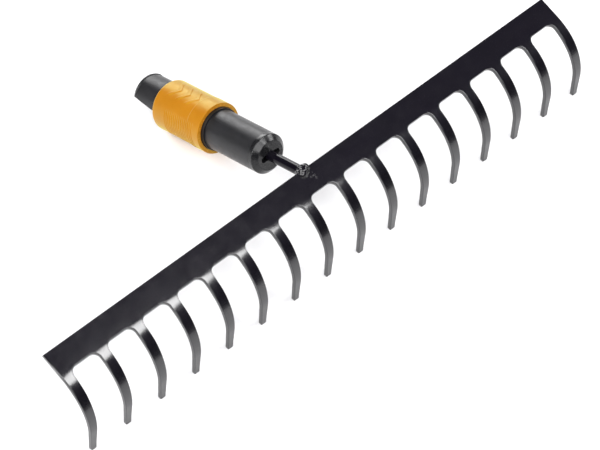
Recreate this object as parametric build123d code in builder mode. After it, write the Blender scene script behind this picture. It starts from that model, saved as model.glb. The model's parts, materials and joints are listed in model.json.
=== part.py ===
"""Soil rake head with sixteen curved tines and a quick-fit handle socket.

Millimetres, +Z up. X runs across the rake, +Y from the tines to the mouth of the socket.
The head lies as it does on the ground, on its tine tips and the rear rim of its lock sleeve.
The origin is on the ground, under the middle of the overall box.
Along the socket, stations are distances from the tang's foot at the plate, towards the mouth.
"""

import math
import os

from build123d import *

# ---- rake plate ----
tine_count = 16
tine_pitch = 27.4
tine_root_width = 7.0
tine_tip_width = 3.6
sheet = 2.8
bar_depth = 16.3
bend_radius = 34.0
bend_angle = 74.8
tip_straight = 17.0
gap_corner_radius = 4.6

# ---- tang and weld ----
tang_radius = 3.4
tang_angle = 35.8
tang_foot_behind = 0.8
tang_foot_below = 5.1
tang_foot_start = -4.0
wing_width = 14.0
wing_thickness = 3.4
wing_length = 5.6
thread_radius = 3.0
thread_past_nut = 1.3
weld_radius = 5.2
weld_behind = 0.3
weld_below = 2.2

# ---- socket tube ----
face_station = 28.0
mouth_station = 146.2
tube_radius = 13.3
collar_station = 75.6
collar_rise = 0.9
cap_flange = 6.0
cap_spigot = 6.0
cap_bevel = 3.0
cap_spigot_radius = 11.4
slot_length = 15.0
slot_width = 4.0
bulkhead = 14.0
nut_chamber_radius = 9.3
nut_chamber_length = 8.0
floor_radius = 9.9
bore_radius = 10.2
bore_depth = 42.5
relief_radius = 11.0
entry_radius = 10.7
lip_chamfer = 1.1
key_cut_depth = 27.2
key_cut_angle = 10.2
key_cut_height = 5.3

# ---- tang fixings ----
washer_radius = 7.0
washer_thickness = 1.2
nut_across_flats = 10.0
nut_thickness = 5.0
floor_thickness = 3.0

# ---- lock sleeve and its spring ----
sleeve_room = 1.9
sleeve_wall = 1.5
sleeve_length = 46.0
sleeve_front_station = 77.9
sleeve_travel = 8.0
sleeve_edge_radius = 2.0
sleeve_lip_rise = 0.3
sleeve_lip_length = 11.0
rear_lip_length = 5.4
bush_recess = 0.5
bush_length = 7.3
stop_ring_width = 1.4
stop_ring_groove = 1.0
stop_ring_opening = 7.0
wire_radius = 0.6
spring_turns = 3.5
spring_space = 13.6

# ---- lock pins ----
pin_radius = 2.5
pin_reach = 1.4
pin_travel = 1.6
pin_nose = 0.9

# ---- clearances ----
slide_gap = 0.3
stack_gap = 0.3
wing_gap = 0.2
running_gap = 0.05
through = 200.0

# ---- head profile: u along the plate towards the handle, v along its upper normal ----
bend = math.radians(bend_angle)
bend_tangent = bend_radius * math.tan(bend / 2)
bend_corner = (-(bar_depth + bend_tangent), -sheet / 2)
tine_run = (-math.cos(bend), -math.sin(bend))
tine_out = (-math.sin(bend), math.cos(bend))
tine_length = bend_tangent + tip_straight
tip_middle = (bend_corner[0] + tine_length * tine_run[0], bend_corner[1] + tine_length * tine_run[1])
tip_corner = (tip_middle[0] + sheet / 2 * tine_out[0], tip_middle[1] + sheet / 2 * tine_out[1])
bend_centre = (-bar_depth, -sheet / 2 - bend_radius)
tang = math.radians(tang_angle)
tang_foot = (tang_foot_behind, -tang_foot_below)
sleeve_bore_radius = tube_radius + sleeve_room
sleeve_radius = sleeve_bore_radius + sleeve_wall


def on_axis(station, rise=0.0):
    """Plate coordinates of a point on the socket's axis, or raised from it in the middle plane."""
    u = tang_foot[0] + station * math.cos(tang) + rise * math.sin(tang)
    v = tang_foot[1] - station * math.sin(tang) + rise * math.cos(tang)
    return u, v


# ---- how the head lies: the ground touches the tips and the sleeve's rounded rear rim ----
sleeve_rear_station = sleeve_front_station + sleeve_length
rim_centre = on_axis(sleeve_rear_station - sleeve_edge_radius, sleeve_edge_radius - sleeve_radius)
rest_u = rim_centre[0] - tip_corner[0]
rest_v = rim_centre[1] - tip_corner[1]
rest_slope = math.atan2(rest_v, rest_u) - math.asin(sleeve_edge_radius / math.hypot(rest_u, rest_v))
tilt = -rest_slope


def turned(point):
    """Plate coordinates turned to level ground, still measured from the plate's back edge."""
    y = point[0] * math.cos(tilt) - point[1] * math.sin(tilt)
    z = point[0] * math.sin(tilt) + point[1] * math.cos(tilt)
    return y, z


front_extreme = turned(bend_centre)[0] - bend_radius - sheet / 2
rear_extreme = turned(on_axis(mouth_station, tube_radius - lip_chamfer))[0]
edge_y = -(front_extreme + rear_extreme) / 2
edge_z = -turned(tip_corner)[1]

head_plane = Plane(
    origin=(0, edge_y, edge_z), x_dir=(0, math.cos(tilt), math.sin(tilt)), z_dir=(1, 0, 0)
)
axis_slope = tilt - tang
foot_y, foot_z = turned(tang_foot)
axis_run = Vector(0, math.cos(axis_slope), math.sin(axis_slope))
axis_foot = Vector(0, edge_y + foot_y, edge_z + foot_z)
socket_axis = Axis(axis_foot, axis_run)
section_plane = Plane(origin=axis_foot, x_dir=axis_run, z_dir=(1, 0, 0))


def across(station):
    """Plane across the socket at a station, facing the mouth, with its local y upwards."""
    return Plane(origin=axis_foot + axis_run * station, x_dir=(-1, 0, 0), z_dir=axis_run)


# ---- stations along the socket ----
body_station = face_station + cap_flange
bulkhead_station = body_station + cap_spigot
chamber_station = bulkhead_station + bulkhead
floor_station = chamber_station + nut_chamber_length
bore_station = floor_station + floor_thickness
relief_station = floor_station + bore_depth
pin_station = relief_station + stack_gap + pin_radius + running_gap
entry_station = pin_station + pin_radius + running_gap + stack_gap
bush_station = sleeve_front_station + bush_recess
stop_ring_station = bush_station + bush_length + stack_gap
spring_station = stop_ring_station + stop_ring_width
land_station = spring_station + spring_space
ramp_station = pin_station - pin_radius
pocket_station = ramp_station + sleeve_travel
rear_lip_station = sleeve_rear_station - rear_lip_length
land_radius = tube_radius + slide_gap
collar_radius = tube_radius + collar_rise
pocket_radius = land_radius + pin_travel
pin_inner = bore_radius - pin_reach

# ---- rake plate: one bent sheet, then the gaps between the tines ----
half_plate = (tine_count - 1) * tine_pitch / 2 + tine_root_width / 2
root_gap = tine_pitch - tine_root_width
tip_gap = tine_pitch - tine_tip_width

with BuildPart() as rake_plate:
    with BuildSketch(head_plane):
        with BuildLine():
            FilletPolyline((0, -sheet / 2), bend_corner, tip_middle, radius=bend_radius)
        trace(line_width=sheet)
    extrude(amount=half_plate, both=True)
    # gaps with rounded roots, square to the bar
    with BuildSketch(Plane(head_plane.origin, x_dir=(1, 0, 0), z_dir=head_plane.y_dir)):
        with Locations((0, -bar_depth - through / 2)):
            with GridLocations(tine_pitch, 1, tine_count - 1, 1):
                RectangleRounded(root_gap, through, gap_corner_radius)
    extrude(amount=through, both=True, mode=Mode.SUBTRACT)
    # slivers off both sides of each tine, so that it tapers to its tip
    taper_top = edge_z + turned(bend_corner)[1]
    with BuildSketch(Plane.XZ):
        with GridLocations(tine_pitch, 1, tine_count + 1, 1):
            with BuildLine():
                Polyline(
                    (-root_gap / 2, taper_top),
                    (root_gap / 2, taper_top),
                    (tip_gap / 2, 0),
                    (tip_gap / 2, -sheet),
                    (-tip_gap / 2, -sheet),
                    (-tip_gap / 2, 0),
                    close=True,
                )
            make_face()
    extrude(amount=through, both=True, mode=Mode.SUBTRACT)
rake_plate.part.label = "rake_plate"

# ---- tang rod: foot on the plate, crimped wings and threaded end inside the socket ----
wing_station = bulkhead_station + wing_gap
thread_end = chamber_station + washer_thickness + nut_thickness + thread_past_nut
with BuildPart() as tang_rod:
    with BuildSketch(across(tang_foot_start)):
        Circle(tang_radius)
    extrude(amount=bulkhead_station - tang_foot_start)
    with BuildSketch(across(wing_station)):
        SlotOverall(wing_width, wing_thickness)
    extrude(amount=wing_length)
    with BuildSketch(across(bulkhead_station)):
        Circle(thread_radius)
    extrude(amount=thread_end - bulkhead_station)
    add(rake_plate.part, mode=Mode.SUBTRACT)
tang_rod.part.label = "tang_rod"

# ---- weld bead: a blob round the foot, cut away where the plate and the rod are ----
with BuildPart() as weld_bead:
    with Locations(head_plane.from_local_coords((weld_behind, -weld_below, 0))):
        Sphere(weld_radius)
    add(rake_plate.part, mode=Mode.SUBTRACT)
    add(tang_rod.part, mode=Mode.SUBTRACT)
weld_bead.part.label = "weld_bead"

# ---- front cap: bevelled flange and spigot, slotted for the wings ----
with BuildPart() as front_cap:
    with BuildSketch(section_plane):
        with BuildLine():
            Polyline(
                (face_station, 0),
                (face_station, tube_radius - cap_bevel),
                (face_station + cap_bevel, tube_radius),
                (body_station, tube_radius),
                (body_station, cap_spigot_radius),
                (bulkhead_station, cap_spigot_radius),
                (bulkhead_station, 0),
                close=True,
            )
        make_face()
    revolve(axis=socket_axis)
    with BuildSketch(across(face_station)):
        SlotOverall(slot_length, slot_width)
        Circle(tang_radius + running_gap)
    extrude(amount=cap_flange + cap_spigot, mode=Mode.SUBTRACT)
front_cap.part.label = "front_cap"

# ---- socket body: tube with a tang bulkhead, a collar under the sleeve and a slanted mouth ----
with BuildPart() as socket_body:
    with BuildSketch(section_plane):
        with BuildLine():
            Polyline(
                (body_station, cap_spigot_radius + running_gap),
                (body_station, tube_radius),
                (collar_station, tube_radius),
                (collar_station, collar_radius),
                (stop_ring_station, collar_radius),
                (stop_ring_station, tube_radius),
                (mouth_station - lip_chamfer, tube_radius),
                (mouth_station, tube_radius - lip_chamfer),
                (mouth_station, entry_radius),
                (entry_station, entry_radius),
                (entry_station, relief_radius),
                (relief_station, relief_radius),
                (relief_station, bore_radius),
                (bore_station, bore_radius),
                (bore_station, floor_radius + running_gap),
                (floor_station, floor_radius + running_gap),
                (floor_station, nut_chamber_radius),
                (chamber_station, nut_chamber_radius),
                (chamber_station, 0),
                (bulkhead_station, 0),
                (bulkhead_station, cap_spigot_radius + running_gap),
                close=True,
            )
        make_face()
    revolve(axis=socket_axis)
    with BuildSketch(across(bulkhead_station)):
        Circle(thread_radius + running_gap)
    extrude(amount=bulkhead, mode=Mode.SUBTRACT)
    with BuildSketch(across(bulkhead_station)):
        SlotOverall(wing_width + 2 * wing_gap, wing_thickness + 2 * wing_gap)
    extrude(amount=wing_length + 2 * wing_gap, mode=Mode.SUBTRACT)
    # groove for the stop ring
    with BuildSketch(section_plane):
        with Locations((stop_ring_station + stop_ring_width / 2, tube_radius)):
            Rectangle(stop_ring_width, 2 * stop_ring_groove)
    revolve(axis=socket_axis, mode=Mode.SUBTRACT)
    # the lock pins' holes, across the tube
    with BuildSketch(Plane(axis_foot + axis_run * pin_station, x_dir=axis_run, z_dir=(1, 0, 0))):
        Circle(pin_radius + running_gap)
    extrude(amount=through, both=True, mode=Mode.SUBTRACT)
    # lower side of the mouth cut away on a slant, the key for the handle
    key_station = mouth_station - key_cut_depth
    key_rise = key_cut_height - key_cut_depth * math.tan(math.radians(key_cut_angle))
    with BuildSketch(section_plane):
        with BuildLine():
            Polyline(
                (key_station, key_rise),
                (mouth_station, key_cut_height),
                (mouth_station, -2 * tube_radius),
                (key_station, -2 * tube_radius),
                close=True,
            )
        make_face()
    extrude(amount=through, both=True, mode=Mode.SUBTRACT)
socket_body.part.label = "socket_body"

# ---- tang fixings in the nut chamber ----
with BuildPart() as tang_washer:
    with BuildSketch(across(chamber_station)):
        Circle(washer_radius)
        Circle(thread_radius + wing_gap, mode=Mode.SUBTRACT)
    extrude(amount=washer_thickness)
tang_washer.part.label = "tang_washer"

with BuildPart() as tang_nut:
    with BuildSketch(across(chamber_station + washer_thickness)):
        RegularPolygon(nut_across_flats / 2, 6, major_radius=False)
        Circle(thread_radius + running_gap, mode=Mode.SUBTRACT)
    extrude(amount=nut_thickness)
tang_nut.part.label = "tang_nut"

with BuildPart() as socket_floor:
    with BuildSketch(across(floor_station)):
        Circle(floor_radius)
    extrude(amount=floor_thickness)
socket_floor.part.label = "socket_floor"

# ---- lock sleeve: bush seat and spring space, land, ramp for the pins, pocket, rear lip ----
with BuildPart() as lock_sleeve:
    with BuildSketch(section_plane):
        with BuildLine():
            Polyline(
                (sleeve_front_station, sleeve_bore_radius),
                (sleeve_front_station, sleeve_radius + sleeve_lip_rise),
                (sleeve_front_station + sleeve_lip_length, sleeve_radius + sleeve_lip_rise),
                (sleeve_front_station + sleeve_lip_length + 2 * sleeve_lip_rise, sleeve_radius),
                (sleeve_rear_station, sleeve_radius),
                (sleeve_rear_station, land_radius),
                (rear_lip_station, land_radius),
                (rear_lip_station, pocket_radius),
                (pocket_station, pocket_radius),
                (ramp_station, land_radius),
                (land_station, land_radius),
                (land_station, sleeve_bore_radius),
                close=True,
            )
        make_face()
    revolve(axis=socket_axis)
    rear_faces = lock_sleeve.faces().sort_by(socket_axis)[-1]
    fillet(rear_faces.edges().sort_by(SortBy.LENGTH)[-1], radius=sleeve_edge_radius)
lock_sleeve.part.label = "lock_sleeve"

with BuildPart() as sleeve_bush:
    with BuildSketch(across(bush_station)):
        Circle(sleeve_bore_radius)
        Circle(collar_radius + slide_gap, mode=Mode.SUBTRACT)
    extrude(amount=bush_length)
sleeve_bush.part.label = "sleeve_bush"

# ---- stop ring, in its groove on the tube ----
with BuildPart() as stop_ring:
    with BuildSketch(across(stop_ring_station)):
        Circle(sleeve_bore_radius - slide_gap)
        Circle(tube_radius - stop_ring_groove, mode=Mode.SUBTRACT)
        with Locations((0, -tube_radius)):
            Rectangle(stop_ring_opening, tube_radius, mode=Mode.SUBTRACT)
    extrude(amount=stop_ring_width)
stop_ring.part.label = "stop_ring"

# ---- return spring ----
spring_radius = (tube_radius + sleeve_bore_radius) / 2
spring_height = spring_space - 2 * wire_radius - 2 * running_gap
spring_start = spring_station + wire_radius + running_gap
with BuildPart() as return_spring:
    with BuildLine():
        coil = Helix(
            spring_height / spring_turns,
            spring_height,
            spring_radius,
            center=axis_foot + axis_run * spring_start,
            direction=axis_run,
        )
    with BuildSketch(Plane(coil @ 0, z_dir=coil % 0)):
        Circle(wire_radius)
    sweep(is_frenet=True)
return_spring.part.label = "return_spring"

# ---- lock pins: radial pins with a chamfered nose in the bore ----
pin_outer = tube_radius - slide_gap / 2


def lock_pin(side):
    """One lock pin on the +X or -X side of the tube."""
    middle = axis_foot + axis_run * pin_station
    seat = Plane(middle + Vector(side * pin_inner, 0, 0), x_dir=axis_run, z_dir=(side, 0, 0))
    with BuildPart() as pin:
        with BuildSketch(seat):
            Circle(pin_radius)
        extrude(amount=pin_outer - pin_inner)
        nose = pin.faces().filter_by(Axis.X).sort_by(Axis.X)[0 if side > 0 else -1]
        chamfer(nose.edges(), length=pin_nose)
    return pin.part


lock_pin_right = lock_pin(1)
lock_pin_right.label = "lock_pin_right"
lock_pin_left = lock_pin(-1)
lock_pin_left.label = "lock_pin_left"

# ---- write every piece ----
os.makedirs("parts", exist_ok=True)
export_step(rake_plate.part, "parts/rake_plate.step")
export_step(tang_rod.part, "parts/tang_rod.step")
export_step(weld_bead.part, "parts/weld_bead.step")
export_step(front_cap.part, "parts/front_cap.step")
export_step(socket_body.part, "parts/socket_body.step")
export_step(tang_washer.part, "parts/tang_washer.step")
export_step(tang_nut.part, "parts/tang_nut.step")
export_step(socket_floor.part, "parts/socket_floor.step")
export_step(lock_sleeve.part, "parts/lock_sleeve.step")
export_step(sleeve_bush.part, "parts/sleeve_bush.step")
export_step(stop_ring.part, "parts/stop_ring.step")
export_step(return_spring.part, "parts/return_spring.step")
export_step(lock_pin_right, "parts/lock_pin_right.step")
export_step(lock_pin_left, "parts/lock_pin_left.step")
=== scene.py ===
"""Looks of the soil rake head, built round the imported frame. Metres, row frame."""

import json
import math
import random

import bmesh
import bpy
from mathutils import Matrix, Vector


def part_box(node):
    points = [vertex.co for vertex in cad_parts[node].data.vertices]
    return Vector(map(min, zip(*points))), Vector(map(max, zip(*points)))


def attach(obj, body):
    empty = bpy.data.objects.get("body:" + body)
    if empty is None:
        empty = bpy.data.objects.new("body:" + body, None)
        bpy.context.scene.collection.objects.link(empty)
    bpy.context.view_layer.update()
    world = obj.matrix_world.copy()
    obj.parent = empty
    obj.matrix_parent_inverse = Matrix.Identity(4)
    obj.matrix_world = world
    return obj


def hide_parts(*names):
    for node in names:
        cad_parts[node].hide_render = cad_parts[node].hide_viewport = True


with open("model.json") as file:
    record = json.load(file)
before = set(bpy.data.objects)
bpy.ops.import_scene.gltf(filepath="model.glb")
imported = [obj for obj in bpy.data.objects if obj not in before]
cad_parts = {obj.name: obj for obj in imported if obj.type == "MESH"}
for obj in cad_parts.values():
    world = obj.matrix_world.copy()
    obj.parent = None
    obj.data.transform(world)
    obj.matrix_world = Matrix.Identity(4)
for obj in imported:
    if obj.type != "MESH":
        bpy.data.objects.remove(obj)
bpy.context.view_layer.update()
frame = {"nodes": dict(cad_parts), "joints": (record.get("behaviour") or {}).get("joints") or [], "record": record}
nodes = frame["nodes"]
record = frame["record"]
MM = 0.001

# ---- camera: the photograph's viewing angle ----
camera_azimuth = math.radians(-44.86)
camera_elevation = math.radians(50.96)
camera_roll = math.radians(1.76)
camera_distance = 2.0435
camera_lens = 200.7
camera_aim = Vector((-0.01635, -0.06763, 0.030))
camera_reach = 30

# ---- plate: sizes of the bent sheet ----
sheet = 2.8 * MM
bar_depth = 16.3 * MM
bend_radius = 34 * MM
bend_angle = math.radians(74.8)
tine_root_width = 7.0 * MM
tine_tip_width = 3.6 * MM
gap_corner_radius = 4.6 * MM
top_rounding = 0.60 * MM
top_rounding_steps = 3
under_rounding = 0.15 * MM
under_rounding_steps = 1
bend_step = 1.0 * MM
corner_steps = 7

# ---- front cap ----
cap_bevel = 3.0 * MM
cap_rounding = 0.5 * MM
cap_rounding_steps = 4
cap_corner_pull = 0.7
cap_spigot_share = 0.8
cap_around = 192
seam_gap = 0.12 * MM
slot_length = 15.0 * MM
slot_width = 4.0 * MM
slot_end_steps = 12
slot_overrun = 1 * MM
rod_radius = 3.4 * MM
cap_hole_gap = 0.05 * MM

# ---- weld and its spatter ----
weld_forward = 1.6 * MM
weld_up = 0.9 * MM
weld_aside = 1.2 * MM
weld_height_share = 0.9
wave_rate = (2, 11)
wave_phase = 6.28
weld_seed = 7
weld_waves = 9
weld_unevenness = 0.11
spatter_count = 11
spatter_seed = 11
spatter_size = (0.40 * MM, 0.90 * MM)
spatter_away = (3.2 * MM, 9.5 * MM)
spatter_drift = 0.45
spatter_middle = -1.0 * MM
spatter_scatter = 1.5 * MM
spatter_shape = (1, 1.25, 0.45)
spatter_sink = 0.25
spatter_first_seed = 20
spatter_waves = 5
spatter_unevenness = 0.12

# ---- lock sleeve: surface details ----
sleeve_around = 288
sleeve_step = 0.22 * MM
sleeve_lip_rise = 0.3 * MM
sleeve_lip_length = 11 * MM
sleeve_lip_fade = 1.0 * MM
sleeve_edge_radius = 2 * MM
sleeve_edge_steps = 10
front_edge_radius = 0.35 * MM
front_edge_steps = 4
rear_lip_length = 5.4 * MM
rim_lip_height = 0.7 * MM
rim_lip_depth = 0.4 * MM
rib_pitch = 1.75 * MM
rib_count = 16
rib_start = 5.6 * MM
rib_depth = 0.28 * MM
rib_flank = (0.25, 0.75)
rib_upper_fade = (50, 62)
rib_lower_fade = (128, 140)
chevron_rise = 0.28 * MM
chevron_start = 14.5 * MM
chevron_step = 8.5 * MM
chevron_count = 3
chevron_slope = 0.8
chevron_line_edge = (1.15 * MM, 1.45 * MM)
chevron_side_fade = (6.4 * MM, 7.0 * MM)

# ---- bead at the mouth ----
bead_tube_radius = 13.3 * MM
bead_inset = 2.3 * MM
bead_width = 1.3 * MM
bead_rise = 0.45 * MM
bead_root = 0.05 * MM
bead_start = math.radians(27)
bead_across = 10
bead_along = 96
bead_end_fade = 1 / 8


# ---- the frame's own directions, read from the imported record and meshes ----
def world_points(node):
    """A CAD node's vertices, which are already in the row frame."""
    return [v.co.copy() for v in nodes[node].data.vertices]


def plate_directions():
    """Where the plate's flat top lies: its back edge's middle, run towards the handle, and upper normal."""
    mesh = nodes["rake_plate"].data
    upward, sideways = 0.7, 0.01
    tops = [p for p in mesh.polygons if p.normal.z > upward and p.normal.x < sideways]
    normal = max(tops, key=lambda p: p.area).normal.normalized()
    run = normal.cross(Vector((1, 0, 0))).normalized()
    run = run if run.y > 0 else -run
    points = world_points("rake_plate")
    back = max(p.dot(run) for p in points)
    top = max(p.dot(normal) for p in points)
    return run * back + normal * top, run, normal


plate_edge, plate_run, plate_normal = plate_directions()
socket_mount = next(m for m in record["mounts"] if m["name"] == "handle_socket")
sleeve_joint = next(j for j in frame["joints"] if j["name"] == "sleeve_slide")
axis_run = -Vector(sleeve_joint["axis"]).normalized()
axis_point = Vector(socket_mount["pos_m"])
axis_up = Vector((1, 0, 0)).cross(axis_run).normalized()


def reach(node):
    """First and last station of a node along the socket's axis, and its inner and outer radius."""
    stations, radii = [], []
    for point in world_points(node):
        offset = point - axis_point
        station = offset.dot(axis_run)
        stations.append(station)
        radii.append((offset - axis_run * station).length)
    return min(stations), max(stations), min(radii), max(radii)


def socket_point(station, radius, angle):
    """A point round the socket's axis; the angle runs from +X to the upper side."""
    side = Vector((1, 0, 0)) * math.cos(angle) + axis_up * math.sin(angle)
    return axis_point + axis_run * station + side * radius


# ---- material tools ----
def new_material(name):
    """A new material with its node tree and its shader."""
    material = bpy.data.materials.new(name)
    material.use_nodes = True
    return material, material.node_tree, material.node_tree.nodes["Principled BSDF"]


def noise(tree, scale, detail=4.0, roughness=0.5, stretch=None):
    """Noise in object coordinates, one cell to about 1/scale metres."""
    place = tree.nodes.new("ShaderNodeTexCoord")
    texture = tree.nodes.new("ShaderNodeTexNoise")
    texture.inputs["Scale"].default_value = scale
    texture.inputs["Detail"].default_value = detail
    texture.inputs["Roughness"].default_value = roughness
    source = place.outputs["Object"]
    if stretch:
        mapping = tree.nodes.new("ShaderNodeMapping")
        mapping.inputs["Scale"].default_value = stretch
        tree.links.new(source, mapping.inputs["Vector"])
        source = mapping.outputs["Vector"]
    tree.links.new(source, texture.inputs["Vector"])
    return texture.outputs["Fac"]


def ramp(tree, source, stops):
    """Colour ramp from (position, colour) stops."""
    node = tree.nodes.new("ShaderNodeValToRGB")
    elements = node.color_ramp.elements
    while len(elements) < len(stops):
        elements.new(0.5)
    for element, (position, colour) in zip(elements, stops):
        element.position = position
        element.color = (*colour, 1)
    tree.links.new(source, node.inputs["Fac"])
    return node.outputs["Color"]


def spread(tree, source, low, high, start=0.3, stop=0.7):
    """Maps a texture's middle range onto a range of values."""
    node = tree.nodes.new("ShaderNodeMapRange")
    node.inputs["From Min"].default_value = start
    node.inputs["From Max"].default_value = stop
    node.inputs["To Min"].default_value = low
    node.inputs["To Max"].default_value = high
    tree.links.new(source, node.inputs["Value"])
    return node.outputs["Result"]


def mixed(tree, factor, first, second):
    """Mixes two colours, each a socket or a plain colour, by a factor socket."""
    node = tree.nodes.new("ShaderNodeMix")
    node.data_type = "RGBA"
    tree.links.new(factor, node.inputs["Factor"])
    for socket, colour in ((node.inputs[6], first), (node.inputs[7], second)):
        if isinstance(colour, tuple):
            socket.default_value = (*colour, 1)
        else:
            tree.links.new(colour, socket)
    return node.outputs[2]


def bumps(tree, shader, layers):
    """Adds bump layers of (height socket, strength, distance in metres), one on another."""
    normal = None
    for height, strength, distance in layers:
        node = tree.nodes.new("ShaderNodeBump")
        node.inputs["Strength"].default_value = strength
        node.inputs["Distance"].default_value = distance
        tree.links.new(height, node.inputs["Height"])
        if normal:
            tree.links.new(normal, node.inputs["Normal"])
        normal = node.outputs["Normal"]
    tree.links.new(normal, shader.inputs["Normal"])


def edge_wear(tree, start, stop):
    """Where the mesh's convex edges are, broken up by noise."""
    geometry = tree.nodes.new("ShaderNodeNewGeometry")
    edges = spread(tree, geometry.outputs["Pointiness"], 0, 1, start, stop)
    broken = spread(tree, noise(tree, 900, 6, 0.7), 0, 1, 0.48, 0.62)
    both = tree.nodes.new("ShaderNodeMath")
    both.operation = "MULTIPLY"
    tree.links.new(edges, both.inputs[0])
    tree.links.new(broken, both.inputs[1])
    return both.outputs[0]


def height_fade(tree, at_bottom, low, high):
    """A value that falls from at_bottom to 0 between two heights above the ground."""
    place = tree.nodes.new("ShaderNodeTexCoord")
    split = tree.nodes.new("ShaderNodeSeparateXYZ")
    tree.links.new(place.outputs["Object"], split.inputs["Vector"])
    return spread(tree, split.outputs["Z"], at_bottom, 0, low, high)


def enamel(name, rough, lumpy, coat, refraction, dulled=0.0):
    """Black stoved enamel: faint orange peel, dust, rubbed edges, and dulled low down by soil if asked."""
    material, tree, shader = new_material(name)
    deep, pale = (0.0026, 0.0022, 0.0040), (0.0044, 0.0036, 0.0064)
    dust, rubbed = (0.10, 0.095, 0.09), (0.045, 0.043, 0.048)
    clouds = ramp(tree, noise(tree, 35, 5, 0.6), [(0.30, deep), (0.70, pale)])
    dusty = mixed(tree, spread(tree, noise(tree, 1800, 3, 0.6), 0, 0.05, 0.62, 0.78), clouds, dust)
    colour = mixed(tree, edge_wear(tree, 0.56, 0.66), dusty, rubbed)
    tree.links.new(colour, shader.inputs["Base Color"])
    total = tree.nodes.new("ShaderNodeMath")
    tree.links.new(spread(tree, noise(tree, 120, 6, 0.65), rough - 0.02, rough + 0.04), total.inputs[0])
    tree.links.new(height_fade(tree, dulled, low=26 * MM, high=52 * MM), total.inputs[1])
    tree.links.new(total.outputs[0], shader.inputs["Roughness"])
    shader.inputs["Coat Weight"].default_value = coat
    shader.inputs["Coat Roughness"].default_value = 0.07
    shader.inputs["IOR"].default_value = refraction
    bumps(tree, shader, [(noise(tree, 420, 2, 0.5), lumpy, 0.00012),
                         (noise(tree, 2600, 2, 0.5), 0.10, 0.00002)])
    return material


def moulded(name, dark, light, rough, grain, grain_size, scuff):
    """Moulded plastic with an even grain, slow colour drift, and scuffs on its edges."""
    material, tree, shader = new_material(name)
    shader.inputs["Specular IOR Level"].default_value = 0.42
    drift = ramp(tree, noise(tree, 60, 4, 0.6), [(0.32, dark), (0.68, light)])
    pale = tuple(c * 1.6 + 0.01 for c in light)
    specks = mixed(tree, spread(tree, noise(tree, 2400, 3, 0.6), 0, 0.25, 0.58, 0.78), drift, pale)
    tree.links.new(mixed(tree, edge_wear(tree, 0.54, 0.64), specks, scuff), shader.inputs["Base Color"])
    tree.links.new(spread(tree, noise(tree, 300, 5, 0.6), rough - 0.06, rough + 0.08),
                   shader.inputs["Roughness"])
    bumps(tree, shader, [(noise(tree, grain_size, 3, 0.6), grain, 0.00006),
                         (noise(tree, 180, 2, 0.4), 0.10, 0.0002)])
    return material


def bare_metal(name, colour, rough, stretch):
    """Turned or drawn steel with fine lines one way and dull patches."""
    material, tree, shader = new_material(name)
    lines = noise(tree, 900, 4, 0.7, stretch)
    dull = tuple(c * 0.6 for c in colour)
    tree.links.new(ramp(tree, noise(tree, 150, 5, 0.6), [(0.3, dull), (0.65, colour)]),
                   shader.inputs["Base Color"])
    tree.links.new(spread(tree, lines, rough - 0.08, rough + 0.12), shader.inputs["Roughness"])
    shader.inputs["Metallic"].default_value = 1.0
    bumps(tree, shader, [(lines, 0.25, 0.00003)])
    return material


def orange_plastic(name):
    """Orange moulded polymer: slow colour drift, paler worn edges, a soft sheen and handling marks."""
    material, tree, shader = new_material(name)
    deep, pale = (0.370, 0.125, 0.004), (0.425, 0.152, 0.006)
    handled, worn = (0.43, 0.145, 0.006), (0.70, 0.33, 0.05)
    drift = ramp(tree, noise(tree, 70, 4, 0.6), [(0.30, deep), (0.70, pale)])
    streaks = noise(tree, 700, 5, 0.7, stretch=(1, 0.25, 1))
    marks = mixed(tree, spread(tree, streaks, 0, 0.35, 0.60, 0.75), drift, handled)
    colour = mixed(tree, edge_wear(tree, 0.53, 0.62), marks, worn)
    tree.links.new(colour, shader.inputs["Base Color"])
    tree.links.new(spread(tree, noise(tree, 260, 5, 0.6), 0.30, 0.42), shader.inputs["Roughness"])
    shader.inputs["Specular IOR Level"].default_value = 0.75
    shader.inputs["Specular Tint"].default_value = (0.70, 1.0, 0.12, 1)
    shader.inputs["Sheen Weight"].default_value = 0.5
    shader.inputs["Sheen Roughness"].default_value = 0.35
    shader.inputs["Sheen Tint"].default_value = (0.85, 1.0, 0.05, 1)
    shader.inputs["Subsurface Weight"].default_value = 0.12
    shader.inputs["Subsurface Radius"].default_value = (0.0012, 0.0006, 0.0002)
    shader.inputs["Subsurface Scale"].default_value = 0.6
    bumps(tree, shader, [(noise(tree, 1500, 3, 0.6), 0.22, 0.00004),
                         (noise(tree, 160, 2, 0.4), 0.10, 0.0002)])
    return material


materials = {
    "plate_steel": enamel("plate_enamel", rough=0.14, lumpy=0.05, coat=0.25, refraction=1.66, dulled=0.20),
    "tang_steel": enamel("tang_enamel", rough=0.15, lumpy=0.08, coat=0.0, refraction=1.27),
    "weld": enamel("weld_enamel", rough=0.16, lumpy=0.14, coat=0.3, refraction=1.5),
    "cap_plastic": moulded("cap_plastic", dark=(0.006, 0.006, 0.007), light=(0.010, 0.010, 0.011),
                           rough=0.24, grain=0.25, grain_size=1600, scuff=(0.10, 0.10, 0.10)),
    "body_plastic": moulded("body_plastic", dark=(0.005, 0.005, 0.006), light=(0.009, 0.009, 0.011),
                            rough=0.37, grain=0.50, grain_size=2100, scuff=(0.08, 0.08, 0.08)),
    "zinc_steel": bare_metal("zinc_steel", colour=(0.62, 0.62, 0.64), rough=0.32, stretch=(1, 1, 1)),
    "sleeve_plastic": orange_plastic("sleeve_plastic"),
    "bush_plastic": moulded("bush_plastic", dark=(0.020, 0.016, 0.024), light=(0.032, 0.026, 0.038),
                            rough=0.30, grain=0.20, grain_size=1800, scuff=(0.11, 0.10, 0.12)),
    "spring_steel": bare_metal("spring_steel", colour=(0.48, 0.48, 0.50), rough=0.28, stretch=(0.2, 1, 1)),
    "pin_steel": bare_metal("pin_steel", colour=(0.60, 0.60, 0.62), rough=0.22, stretch=(0.1, 1, 1)),
}
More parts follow.
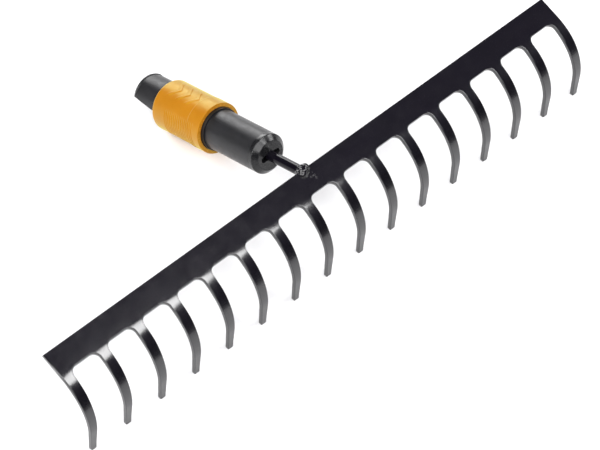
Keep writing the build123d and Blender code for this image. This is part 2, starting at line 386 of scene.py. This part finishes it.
slot_of = {part["node"]: part["material_slot"] for part in record["subparts"]}


# ---- CAD nodes that keep their meshes ----
def soften(node, width):
    """Rounds a CAD node's sharp edges by modifiers, which leave its mesh as it is."""
    weld = node.modifiers.new("weld", "WELD")
    weld.merge_threshold = 2e-6
    bevel = node.modifiers.new("rounding", "BEVEL")
    bevel.width = width
    bevel.segments = 2
    bevel.limit_method = "ANGLE"
    bevel.angle_limit = math.radians(38)
    weighted = node.modifiers.new("flat_faces", "WEIGHTED_NORMAL")
    weighted.keep_sharp = True


softened = {"socket_body": 0.25 * MM, "tang_rod": 0.2 * MM}
for name, node in nodes.items():
    node.data.materials.clear()
    node.data.materials.append(materials[slot_of[name]])
    if name in softened:
        soften(node, softened[name])


def mesh_from(shape, name, smooth=True, sharp_angle=None):
    """Ends a bmesh as a named mesh, shaded smooth but for edges past an angle in degrees."""
    mesh = bpy.data.meshes.new(name)
    shape.to_mesh(mesh)
    shape.free()
    if smooth:
        mesh.polygons.foreach_set("use_smooth", [True] * len(mesh.polygons))
    if sharp_angle:
        mesh.set_sharp_from_angle(angle=math.radians(sharp_angle))
    return mesh


def new_piece(name, mesh, body, slot):
    """A finished object for a new piece, riding on its body with its slot's material."""
    piece = bpy.data.objects.new(name, mesh)
    bpy.context.scene.collection.objects.link(piece)
    mesh.materials.append(materials[slot])
    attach(piece, body)
    return piece


# ---- rake plate ----
def corner(centre, start, sweep, radius):
    """Points of an arc about a centre, by its start angle and sweep."""
    angles = [start + sweep * i / corner_steps for i in range(corner_steps + 1)]
    return [(centre[0] + radius * math.cos(a), centre[1] + radius * math.sin(a)) for a in angles]


def plate_outline(half_width, pitch, gaps, length):
    """The flat blank before bending: x across, y from the back edge (0) towards the tips."""
    points = [(half_width, 0), (-half_width, 0), (-half_width, length)]
    gap_half = (pitch - tine_root_width) / 2
    inner = gap_half - gap_corner_radius
    corner_along = bar_depth + gap_corner_radius
    for i in range(gaps):
        x = (i - (gaps - 1) / 2) * pitch
        points.append((x - gap_half, length))
        points += corner((x - inner, corner_along), math.pi, math.pi / 2, gap_corner_radius)
        points += corner((x + inner, corner_along), 1.5 * math.pi, math.pi / 2, gap_corner_radius)
        points.append((x + gap_half, length))
    points.append((half_width, length))
    return points


def bend_place(x, along, height):
    """Where a point of the flat blank is after bending; height is from the sheet's middle."""
    turn = min(max((along - bar_depth) / bend_radius, 0), bend_angle)
    beyond = max(along - bar_depth - bend_angle * bend_radius, 0)
    flat = min(along, bar_depth)
    radius = bend_radius + height
    u = -flat - radius * math.sin(turn) - beyond * math.cos(turn)
    v = -sheet / 2 - bend_radius + radius * math.cos(turn) - beyond * math.sin(turn)
    return plate_edge + plate_run * u + plate_normal * v + Vector((x, 0, 0))


def build_plate():
    """The stamped and bent sheet, with its rolled edges and tines that narrow towards their tips."""
    low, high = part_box("rake_plate")
    gaps = len(record["physics"]["openings"])
    boxes = [o["box_m"] for o in record["physics"]["openings"]]
    pitch = ((boxes[-1][0][0] + boxes[-1][1][0]) - (boxes[0][0][0] + boxes[0][1][0])) / 2 / (gaps - 1)
    # the tips' outer corner is the lowest point, which settles the length of the blank
    bend_end = bar_depth + bend_angle * bend_radius
    fixed = bend_place(0, bend_end, sheet / 2)
    tip_run = bend_place(0, 1, sheet / 2) - bend_place(0, 0.5, sheet / 2)
    length = bend_end + (fixed.z - low.z) / (-tip_run.normalized().z)

    shape = bmesh.new()
    outline = plate_outline(high.x, pitch, gaps, length)
    base = shape.faces.new([shape.verts.new((x, y, -sheet / 2)) for x, y in outline])
    base.normal_update()
    raised = bmesh.ops.extrude_face_region(shape, geom=[base])
    bmesh.ops.translate(shape, vec=(0, 0, sheet),
                        verts=[v for v in raised["geom"] if isinstance(v, bmesh.types.BMVert)])
    bmesh.ops.recalc_face_normals(shape, faces=shape.faces)
    face_level = sheet * 0.49
    for side, width, segments in ((1, top_rounding, top_rounding_steps),
                                  (-1, under_rounding, under_rounding_steps)):
        rim = [e for e in shape.edges if all(v.co.z * side > face_level for v in e.verts)]
        bmesh.ops.bevel(shape, geom=rim, offset=width, segments=segments, profile=0.5,
                        affect="EDGES", clamp_overlap=False)
    cuts = int((length - bar_depth) / bend_step)
    for i in range(cuts):
        geometry = shape.verts[:] + shape.edges[:] + shape.faces[:]
        bmesh.ops.bisect_plane(shape, geom=geometry, dist=1e-7,
                               plane_co=(0, bar_depth + i * bend_step, 0), plane_no=(0, 1, 0))
    taper_top = bend_corner_point().z
    taper_start = bar_depth + gap_corner_radius / 2
    for vertex in shape.verts:
        x, along, height = vertex.co
        placed = bend_place(x, along, height)
        if along > taper_start:
            middle = (round(x / pitch + gaps / 2) - gaps / 2) * pitch
            share = min(max(placed.z / taper_top, 0), 1)
            width = tine_tip_width + (tine_root_width - tine_tip_width) * share
            blend = min((along - taper_start) / gap_corner_radius, 1)
            scale = 1 + (width / tine_root_width - 1) * blend
            placed.x = middle + (x - middle) * scale
        vertex.co = placed
    piece = new_piece("plate_sheet", mesh_from(shape, "plate_sheet"), "head", "plate_steel")
    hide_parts("rake_plate")
    piece.modifiers.new("flat_faces", "WEIGHTED_NORMAL").weight = 60


def bend_corner_point():
    """Where the bar's and the tines' straight runs would meet without the bend."""
    tangent = bend_radius * math.tan(bend_angle / 2)
    return plate_edge - plate_run * (bar_depth + tangent) - plate_normal * sheet / 2


# ---- lock sleeve ----
def smooth_step(value, low, high):
    """A soft step from 0 at low to 1 at high."""
    share = min(max((value - low) / (high - low), 0), 1)
    return share * share * (3 - 2 * share)


def rib_mask(angle):
    """1 on the two lower sides of the sleeve, where the grip ribs are, else 0."""
    degrees = math.degrees(angle) % 360
    off_top = abs((degrees - 90 + 180) % 360 - 180)
    return smooth_step(off_top, *rib_upper_fade) * (1 - smooth_step(off_top, *rib_lower_fade))


def chevron_height(along, angle, radius):
    """Height, 0 to 1, of the raised chevrons on top, which point the way the sleeve is pulled."""
    sideways = abs(angle - math.pi / 2) * radius
    lines = [chevron_start + i * chevron_step + sideways * chevron_slope for i in range(chevron_count)]
    band = max(1 - smooth_step(abs(along - line), *chevron_line_edge) for line in lines)
    return band * (1 - smooth_step(sideways, *chevron_side_fade))


def rounded_drop(distance, radius):
    """How far a rounded edge drops, as a negative height, at a distance into its rounding."""
    return math.sqrt(max(radius ** 2 - distance ** 2, 0)) - radius


def sleeve_outer(along, length, radius, angle):
    """Outer radius of the sleeve at a distance from its front rim."""
    ribs = 0
    rib_end = rib_start + rib_count * rib_pitch
    if rib_start < along < rib_end:
        wave = 0.5 - 0.5 * math.cos(2 * math.pi * (along - rib_start) / rib_pitch)
        ribs = -rib_depth * smooth_step(wave, *rib_flank) * rib_mask(angle)
    lip = sleeve_lip_rise * (1 - smooth_step(along, sleeve_lip_length, sleeve_lip_length + sleeve_lip_fade))
    front = rear = 0
    if along < front_edge_radius:
        front = rounded_drop(front_edge_radius - along, front_edge_radius)
    if along > length - sleeve_edge_radius:
        rear = rounded_drop(along - (length - sleeve_edge_radius), sleeve_edge_radius)
    raised = chevron_rise * chevron_height(along, angle, radius)
    return radius + ribs + lip + front + rear + raised


def build_sleeve():
    """The orange lock sleeve: lip, grip ribs and raised chevrons outside, and the CAD's steps inside."""
    first, last, bore, outer = reach("lock_sleeve")
    length = last - first
    radius = outer - sleeve_lip_rise
    wide_bore = reach("sleeve_bush")[3]
    land_start = reach("return_spring")[1]
    steps = int(length / sleeve_step)
    stations = sorted({0, length}
                      | {length * i / steps for i in range(steps + 1)}
                      | {front_edge_radius * i / front_edge_steps for i in range(front_edge_steps + 1)}
                      | {length - sleeve_edge_radius * (1 - math.sin(math.pi / 2 * i / sleeve_edge_steps))
                         for i in range(sleeve_edge_steps + 1)})
    # inside: rear lip, pocket and ramp for the lock pins, land, room for spring and bush, front rim
    pin_joint = next(j for j in frame["joints"] if j["name"] == "pin_left_slide")
    pocket = bore + pin_joint["range_m"][1]
    ramp_start = reach("lock_pin_left")[0] - first
    pocket_start = ramp_start + sleeve_joint["range_m"][1]
    inner = [(length, bore), (length - rear_lip_length, bore), (length - rear_lip_length, pocket),
             (pocket_start, pocket), (ramp_start, bore),
             (land_start - first, bore), (land_start - first, wide_bore),
             (rim_lip_depth, wide_bore), (rim_lip_depth, wide_bore - rim_lip_height),
             (0, wide_bore - rim_lip_height)]
    angles = [2 * math.pi * i / sleeve_around for i in range(sleeve_around)]
    shape = bmesh.new()
    rings = [[shape.verts.new(socket_point(first + along, sleeve_outer(along, length, radius, angle), angle))
              for angle in angles] for along in stations]
    rings += [[shape.verts.new(socket_point(first + along, ring_radius, angle)) for angle in angles]
              for along, ring_radius in inner]
    rings.append(rings[0])
    for ring, following in zip(rings, rings[1:]):
        for i in range(sleeve_around):
            j = (i + 1) % sleeve_around
            shape.faces.new((ring[i], ring[j], following[j], following[i]))
    bmesh.ops.recalc_face_normals(shape, faces=shape.faces)
    mesh = mesh_from(shape, "sleeve_shell", sharp_angle=40)
    piece = new_piece("sleeve_shell", mesh, "sleeve", "sleeve_plastic")
    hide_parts("lock_sleeve")


# ---- mouth of the socket ----
def build_mouth_bead():
    """The fine raised bead round the upper side of the tube, just inside its mouth."""
    middle = reach("socket_body")[1] - bead_inset
    shape = bmesh.new()
    rows = []
    for i in range(bead_along + 1):
        share = i / bead_along
        angle = bead_start + (math.pi - 2 * bead_start) * share
        fade = math.sin(math.pi / 2 * min(1, min(share, 1 - share) / bead_end_fade))
        rows.append([])
        for j in range(bead_across + 1):
            turn = math.pi * j / bead_across
            radius = bead_tube_radius + bead_rise * math.sin(turn) * fade - bead_root
            rows[-1].append(shape.verts.new(
                socket_point(middle - bead_width / 2 * math.cos(turn), radius, angle)))
    for row, following in zip(rows, rows[1:]):
        for j in range(bead_across):
            shape.faces.new((row[j], row[j + 1], following[j + 1], following[j]))
        shape.faces.new((row[bead_across], row[0], following[0], following[bead_across]))
    shape.faces.new(rows[0])
    shape.faces.new(rows[-1][::-1])
    bmesh.ops.recalc_face_normals(shape, faces=shape.faces)
    new_piece("mouth_bead", mesh_from(shape, "mouth_bead", sharp_angle=60), "head", "cap_plastic")


# ---- front cap ----
def turned_solid(name, profile, around):
    """A solid of revolution about the socket's axis from a closed (station, radius) profile."""
    shape = bmesh.new()
    rings = []
    for station, radius in profile:
        if radius == 0:
            rings.append([shape.verts.new(axis_point + axis_run * station)])
        else:
            rings.append([shape.verts.new(socket_point(station, radius, 2 * math.pi * i / around))
                          for i in range(around)])
    for ring, following in zip(rings, rings[1:]):
        for i in range(around):
            j = (i + 1) % around
            corners = [ring[i % len(ring)], ring[j % len(ring)],
                       following[j % len(following)], following[i % len(following)]]
            shape.faces.new(list(dict.fromkeys(corners)))
    bmesh.ops.recalc_face_normals(shape, faces=shape.faces)
    return mesh_from(shape, name, smooth=False)


def slot_cutter(first, last, half_length, half_width):
    """A prism along the socket's axis with a round-ended slot section and a wider round middle."""
    shape = bmesh.new()
    rod = rod_radius + cap_hole_gap
    swell = math.acos(min(half_width / rod, 1))
    shares = [i / slot_end_steps for i in range(slot_end_steps + 1)]
    outline = []
    for side in (1, -1):
        centre = side * (half_length - half_width)
        end_angles = [math.pi * share - side * math.pi / 2 for share in shares]
        outline += [(centre + half_width * math.cos(a), half_width * math.sin(a)) for a in end_angles]
        swell_start = (1 - side / 2) * math.pi - swell
        rod_angles = [swell_start + 2 * swell * share for share in shares]
        outline += [(rod * math.cos(a), rod * math.sin(a)) for a in rod_angles]
    rings = []
    for station in (first, last):
        middle = axis_point + axis_run * station
        rings.append([shape.verts.new(middle + Vector((x, 0, 0)) + axis_up * y) for x, y in outline])
    shape.faces.new(rings[0])
    shape.faces.new(rings[1][::-1])
    for i in range(len(outline)):
        j = (i + 1) % len(outline)
        shape.faces.new((rings[0][i], rings[0][j], rings[1][j], rings[1][i]))
    bmesh.ops.recalc_face_normals(shape, faces=shape.faces)
    return mesh_from(shape, "slot_cutter", smooth=False)


def build_cap():
    """The bevelled front cap, with softened corners and the slot that the tang goes through."""
    first, last, _, outer = reach("front_cap")
    flange_end = reach("socket_body")[0]
    shares = [i / cap_rounding_steps for i in range(1, cap_rounding_steps + 1)]
    face_radius = outer - cap_bevel
    spigot_radius = outer * cap_spigot_share
    profile = [(first, 0), (first, face_radius - cap_rounding)]
    for share in shares:
        angle = math.pi / 4 * share
        profile.append((first + cap_rounding * (1 - math.cos(angle)) * cap_corner_pull,
                        face_radius - cap_rounding * (1 - math.sin(angle))))
    pulled_in = cap_rounding * cap_corner_pull
    profile.append((first + cap_bevel - pulled_in, outer - pulled_in))
    for share in shares:
        profile.append((first + cap_bevel + cap_rounding * (share - 0.5),
                        outer - cap_rounding / 2 * (1 - share) ** 2))
    profile += [(flange_end - seam_gap, outer), (flange_end, outer - seam_gap),
                (flange_end, spigot_radius), (last, spigot_radius), (last, 0)]
    cap = bpy.data.objects.new("cap_turned", turned_solid("cap_turned", profile, cap_around))
    cutter_mesh = slot_cutter(first - slot_overrun, last + slot_overrun, slot_length / 2, slot_width / 2)
    cutter = bpy.data.objects.new("cap_slot", cutter_mesh)
    for thing in (cap, cutter):
        bpy.context.scene.collection.objects.link(thing)
    cut = cap.modifiers.new("slot", "BOOLEAN")
    cut.operation = "DIFFERENCE"
    cut.solver = "EXACT"
    cut.object = cutter
    graph = bpy.context.evaluated_depsgraph_get()
    mesh = bpy.data.meshes.new_from_object(cap.evaluated_get(graph))
    bpy.data.objects.remove(cap)
    bpy.data.objects.remove(cutter)
    mesh.polygons.foreach_set("use_smooth", [True] * len(mesh.polygons))
    mesh.set_sharp_from_angle(angle=math.radians(50))
    mesh.materials.clear()
    piece = new_piece("front_cap_shell", mesh, "head", "cap_plastic")
    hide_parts("front_cap")
    piece.modifiers.new("flat_faces", "WEIGHTED_NORMAL").keep_sharp = True


# ---- weld ----
def lumpy_blob(name, centre, radii, seed, wave_count, unevenness):
    """A closed blob whose surface is pushed in and out by a few seeded waves."""
    chance = random.Random(seed)
    waves = [(Vector([chance.uniform(-1, 1) for _ in range(3)]).normalized(), chance.uniform(*wave_rate),
              chance.uniform(0, wave_phase)) for _ in range(wave_count)]
    shape = bmesh.new()
    bmesh.ops.create_icosphere(shape, subdivisions=5, radius=1)
    for vertex in shape.verts:
        side = vertex.co.normalized()
        swell = sum(math.sin(side.dot(way) * rate + phase) for way, rate, phase in waves) / wave_count ** 0.5
        size = 1 - unevenness + unevenness * swell
        offset = plate_run * side.y * radii[1] + plate_normal * side.z * radii[2]
        vertex.co = centre + (offset + Vector((side.x * radii[0], 0, 0))) * size
    return mesh_from(shape, name)


def build_weld():
    """The weld round the tang's foot, and the spatter it left on the plate."""
    low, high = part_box("weld_bead")
    half = (high - low) / 2
    centre = ((low + high) / 2 - plate_run * weld_forward + plate_normal * weld_up
              - Vector((weld_aside, 0, 0)))
    mesh = lumpy_blob("weld_lump", centre, (half.x, half.y, half.z * weld_height_share),
                      weld_seed, weld_waves, weld_unevenness)
    piece = new_piece("weld_lump", mesh, "head", "weld")
    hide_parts("weld_bead")
    chance = random.Random(spatter_seed)
    for i in range(spatter_count):
        size = chance.uniform(*spatter_size)
        away = chance.uniform(*spatter_away)
        aside = away * spatter_drift + chance.gauss(spatter_middle, spatter_scatter)
        place = (plate_edge - plate_run * away - plate_normal * size * spatter_sink
                 + Vector((aside, 0, 0)))
        radii = [size * share for share in spatter_shape]
        speck = lumpy_blob(f"spatter_{i + 1}", place, radii, spatter_first_seed + i,
                           spatter_waves, spatter_unevenness)
        new_piece(f"spatter_{i + 1}", speck, "head", "weld")


build_plate()
build_sleeve()
build_mouth_bead()
build_cap()
build_weld()


# ---- camera, lights and floor ----
def place_camera():
    """Camera on a sphere round the aim point, then rolled about its own axis."""
    back = Vector((math.sin(camera_azimuth) * math.cos(camera_elevation),
                   -math.cos(camera_azimuth) * math.cos(camera_elevation),
                   math.sin(camera_elevation)))
    right = Vector((math.cos(camera_azimuth), math.sin(camera_azimuth), 0))
    up = back.cross(right)
    data = bpy.data.cameras.new("camera")
    data.lens = camera_lens
    data.clip_end = camera_reach
    camera = bpy.data.objects.new("camera", data)
    turn = Matrix((right, up, back)).transposed()
    turn = turn @ Matrix.Rotation(camera_roll, 3, "Z")
    camera.matrix_world = Matrix.Translation(camera_aim + back * camera_distance) @ turn.to_4x4()
    bpy.context.scene.collection.objects.link(camera)
    bpy.context.scene.camera = camera


def softbox(name, target, direction, distance, width, height, power):
    """An area light facing a target from a direction."""
    data = bpy.data.lights.new(name, "AREA")
    data.shape = "RECTANGLE"
    data.size = width
    data.size_y = height
    data.energy = power
    light = bpy.data.objects.new(name, data)
    way = Vector(direction).normalized()
    light.location = Vector(target) + way * distance
    light.rotation_euler = way.to_track_quat("Z", "Y").to_euler()
    light.visible_camera = False
    bpy.context.scene.collection.objects.link(light)


def light_studio():
    """Soft boxes, a broad sun and a dim room; the camera itself sees a pale backdrop."""
    softbox("root_light", target=(-0.19, -0.09, 0.05), direction=(0.385, -0.318, 0.866), distance=1.3,
            width=0.42, height=0.32, power=5.2)
    softbox("barrel_light", target=(0, 0.05, 0.03), direction=(0.50, 0.80, 0.32), distance=1.6,
            width=1.2, height=0.5, power=15)
    softbox("front_light", target=(0, 0, 0), direction=(-0.32, -0.54, 0.75), distance=2.4,
            width=1.7, height=1.3, power=35)
    softbox("cap_light", target=(0, 0, 0), direction=(0.80, -0.30, 0.52), distance=2.2,
            width=0.6, height=0.6, power=13)
    softbox("edge_light", target=(-0.05, -0.12, 0.03), direction=(-0.85, 0.04, 0.48), distance=2.0,
            width=0.8, height=0.5, power=12)
    data = bpy.data.lights.new("key_light", "SUN")
    data.energy = 2.3
    data.angle = math.radians(55)
    key = bpy.data.objects.new("key_light", data)
    key.rotation_euler = Vector((-0.62, 0.30, 0.72)).to_track_quat("Z", "Y").to_euler()
    bpy.context.scene.collection.objects.link(key)
    world = bpy.data.worlds.new("studio")
    world.use_nodes = True
    tree = world.node_tree
    dim = tree.nodes["Background"]
    place = tree.nodes.new("ShaderNodeTexCoord")
    split = tree.nodes.new("ShaderNodeSeparateXYZ")
    tree.links.new(place.outputs["Generated"], split.inputs["Vector"])
    walls, overhead = (0.035, 0.035, 0.04), (0.115, 0.105, 0.145)
    room = ramp(tree, split.outputs["Z"], [(0.45, walls), (0.85, overhead)])
    tree.links.new(room, dim.inputs["Color"])
    pale = tree.nodes.new("ShaderNodeBackground")
    pale.inputs["Color"].default_value = (1, 1, 1, 1)
    pale.inputs["Strength"].default_value = 0.95
    path = tree.nodes.new("ShaderNodeLightPath")
    choose = tree.nodes.new("ShaderNodeMixShader")
    tree.links.new(path.outputs["Is Camera Ray"], choose.inputs["Fac"])
    tree.links.new(dim.outputs["Background"], choose.inputs[1])
    tree.links.new(pale.outputs["Background"], choose.inputs[2])
    tree.links.new(choose.outputs["Shader"], tree.nodes["World Output"].inputs["Surface"])
    bpy.context.scene.world = world


def lay_floor():
    """A wide pale floor with a barely visible mottle."""
    mesh = bpy.data.meshes.new("studio_floor")
    half_width = 12
    corners = [(x * half_width, y * half_width, 0) for x, y in ((-1, -1), (1, -1), (1, 1), (-1, 1))]
    mesh.from_pydata(corners, [], [(0, 1, 2, 3)])
    floor = bpy.data.objects.new("studio_floor", mesh)
    bpy.context.scene.collection.objects.link(floor)
    material, tree, shader = new_material("floor_paper")
    grey, pale = (0.90, 0.90, 0.90), (0.93, 0.93, 0.93)
    mottle = ramp(tree, noise(tree, 6, 3, 0.5), [(0.3, grey), (0.7, pale)])
    tree.links.new(mottle, shader.inputs["Base Color"])
    shader.inputs["Roughness"].default_value = 0.9
    shader.inputs["Specular IOR Level"].default_value = 0.1
    mesh.materials.append(material)


place_camera()
light_studio()
lay_floor()
bpy.context.scene.view_settings.view_transform = "Standard"
